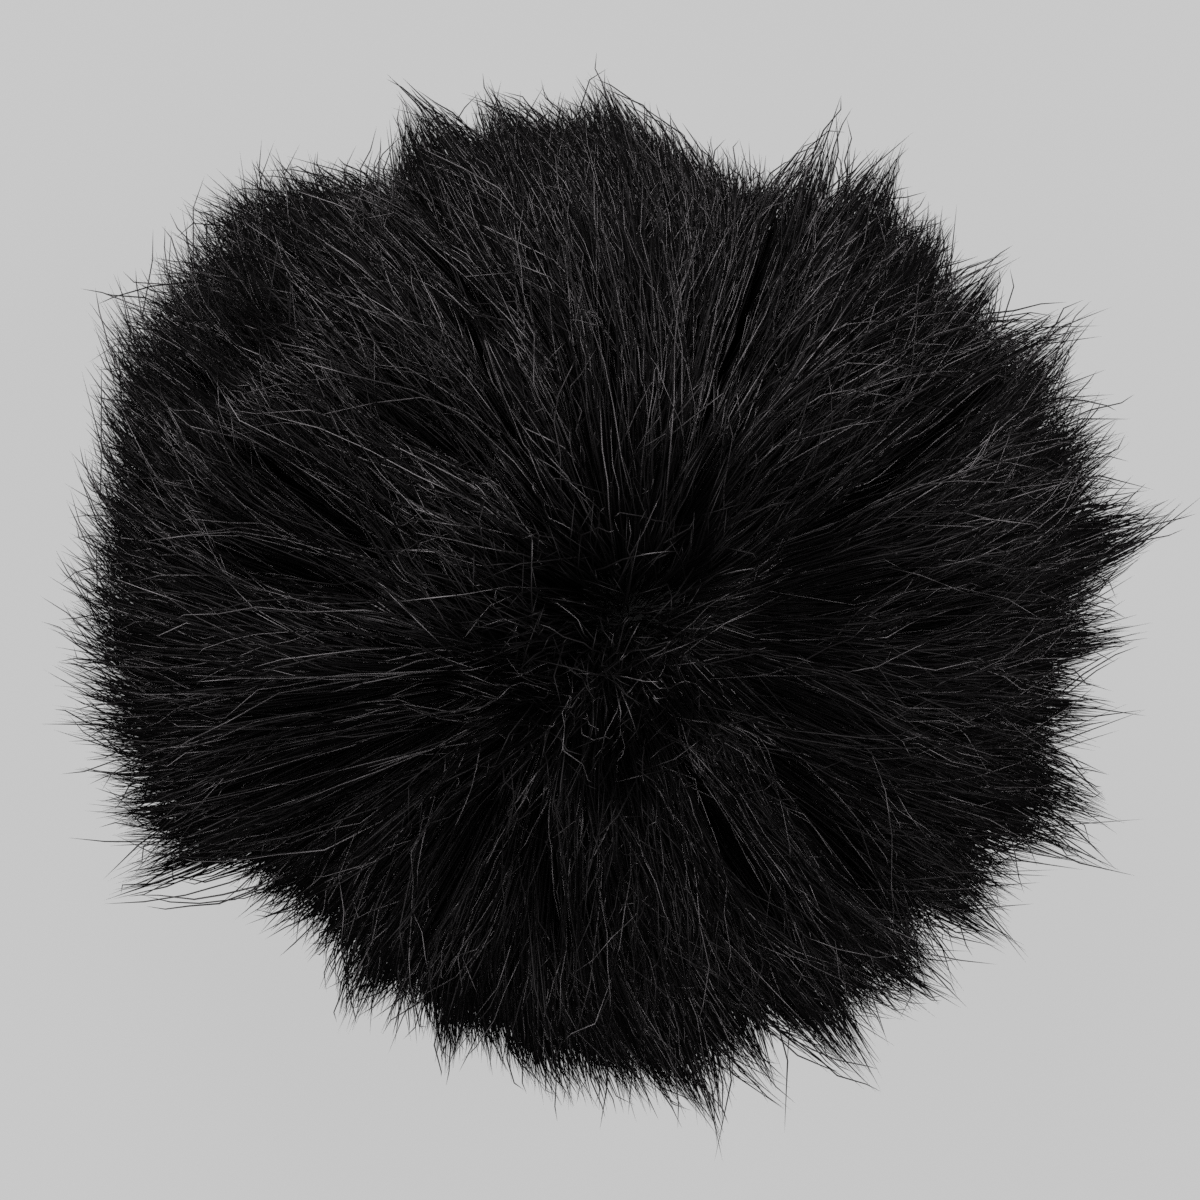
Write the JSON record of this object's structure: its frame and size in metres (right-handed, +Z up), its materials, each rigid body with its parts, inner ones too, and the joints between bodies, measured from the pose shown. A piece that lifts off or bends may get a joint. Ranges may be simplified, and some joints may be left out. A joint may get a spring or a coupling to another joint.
{
  "type": "fur pom pom",
  "caption": "Round long-pile black fur pom pom, lying on its gathered back with its pile parted at the face.",
  "frame": {"origin": "middle of the small flat seat at the gathered back, on the surface that the pom pom lies on", "axes": "+Z up, out of the face; seen from above, +X is the picture's right and +Y is the picture's top"},
  "size_m": [0.1191, 0.1126, 0.0869],
  "materials": {
    "black_fur": "soft long pile with a faint sheen"
  },
  "bodies": {
    "root": {"pompom": "black_fur"}
  },
  "joints": []
}
